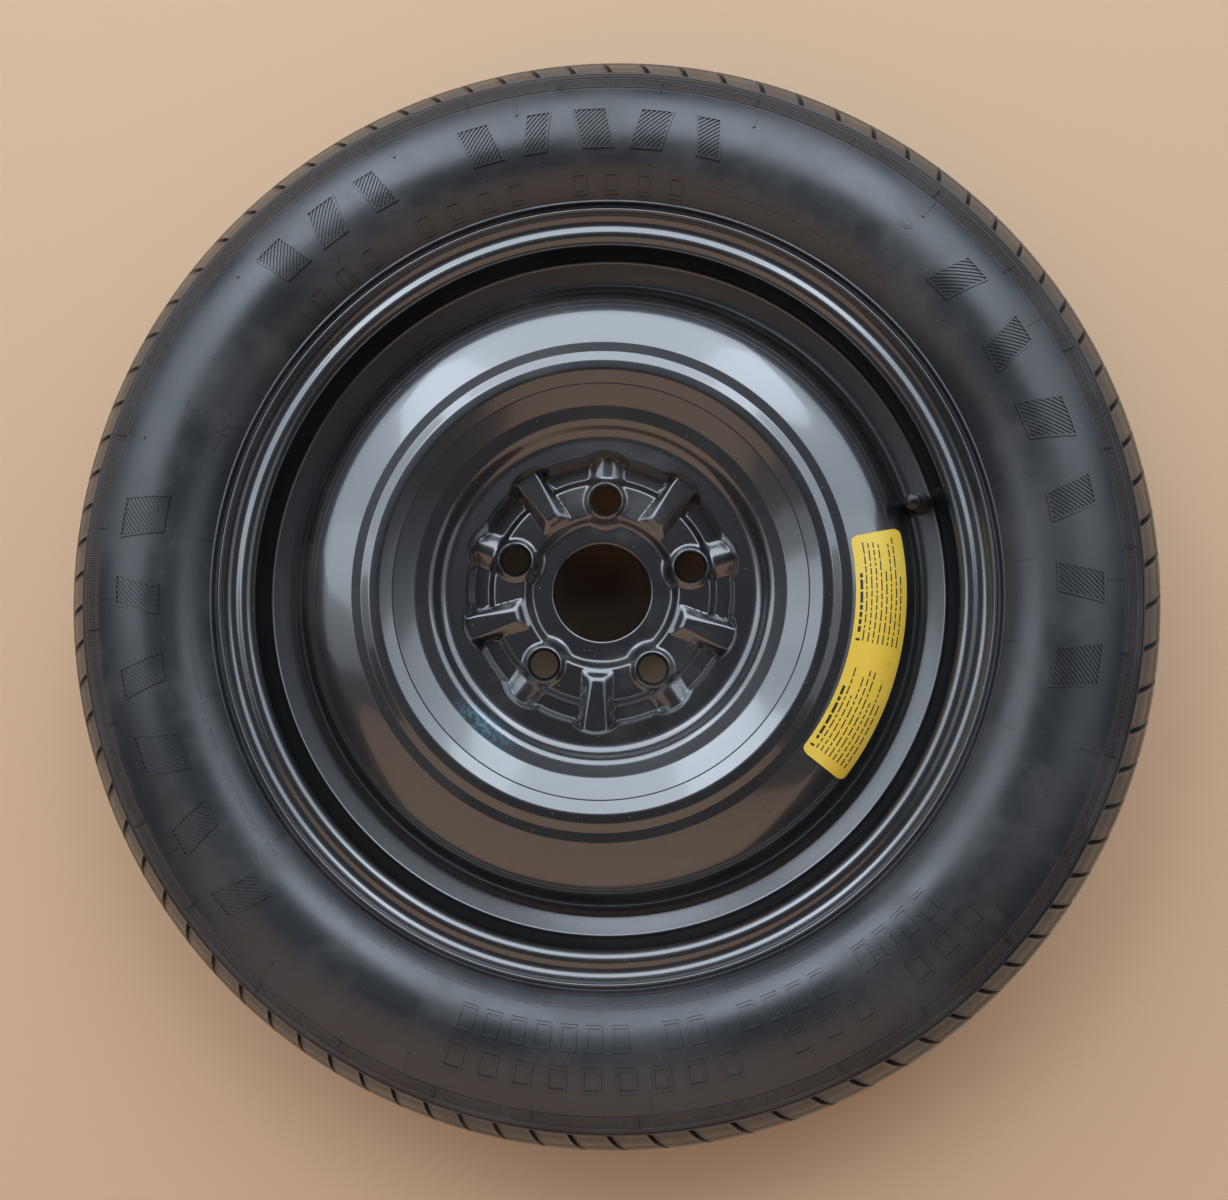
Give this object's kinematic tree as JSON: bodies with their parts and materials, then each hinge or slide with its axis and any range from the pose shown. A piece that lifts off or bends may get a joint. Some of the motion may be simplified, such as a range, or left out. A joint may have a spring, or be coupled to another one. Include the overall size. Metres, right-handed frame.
{
  "type": "space saver spare wheel",
  "caption": "Narrow temporary-use spare wheel: slim tubeless tyre on a welded black steel rim and bowl-shaped disc, with a yellow label and a capped rubber valve.",
  "frame": {"origin": "centre of the wheel: on the spin axis, midway between the two rim flanges", "axes": "+Z along the spin axis towards the outboard face, +Y through one of the bolt holes; the wheel lies on its inboard sidewall"},
  "size_m": [0.68, 0.68, 0.155],
  "materials": {
    "tyre_rubber": "semi-matt blue-grey black rubber with a soft sheen",
    "black_paint": "glossy black dip paint",
    "painted_weld": "black paint over a rough weld",
    "yellow_film": "yellow printed film",
    "valve_rubber": "black moulded rubber",
    "valve_brass": "turned brass",
    "white_plastic": "white sealing plastic",
    "spring_steel": "drawn spring wire",
    "cap_plastic": "black moulded plastic"
  },
  "bodies": {
    "wheel": {"tyre": "tyre_rubber", "rim": "black_paint", "disc": "black_paint", "weld_beads": "painted_weld", "label": "yellow_film", "valve_body": "valve_rubber", "valve_stem": "valve_brass", "core_plug": "valve_brass", "core_barrel": "valve_brass", "core_gasket": "white_plastic", "core_spring": "spring_steel"},
    "core_pin": {"core_pin": "valve_brass", "core_cup": "valve_rubber"},
    "cap_seal": {"cap_seal": "valve_rubber"},
    "valve_cap": {"valve_cap": "cap_plastic"}
  },
  "joints": [
    {"name": "pin_press", "type": "slide", "parent": "wheel", "child": "core_pin", "axis": [0.3253, 0.1057, -0.9397], "range_m": [0, 0.0012], "stiffness_N_per_m": 1500, "springref_m": -0.0008, "deforming": ["core_spring"]},
    {"name": "cap_lift", "type": "slide", "parent": "wheel", "child": "cap_seal", "axis": [-0.3253, -0.1057, 0.9397], "range_m": [0, 0.00635]},
    {"name": "cap_turn", "type": "hinge", "parent": "cap_seal", "child": "valve_cap", "pos_m": [0.18495, 0.0601, 0.05618], "axis": [-0.3253, -0.1057, 0.9397], "range_deg": [0, 2880]}
  ],
  "couplings": [
    {"joint": "cap_turn", "follows": "cap_lift", "rad_per_m": 7913.3}
  ]
}
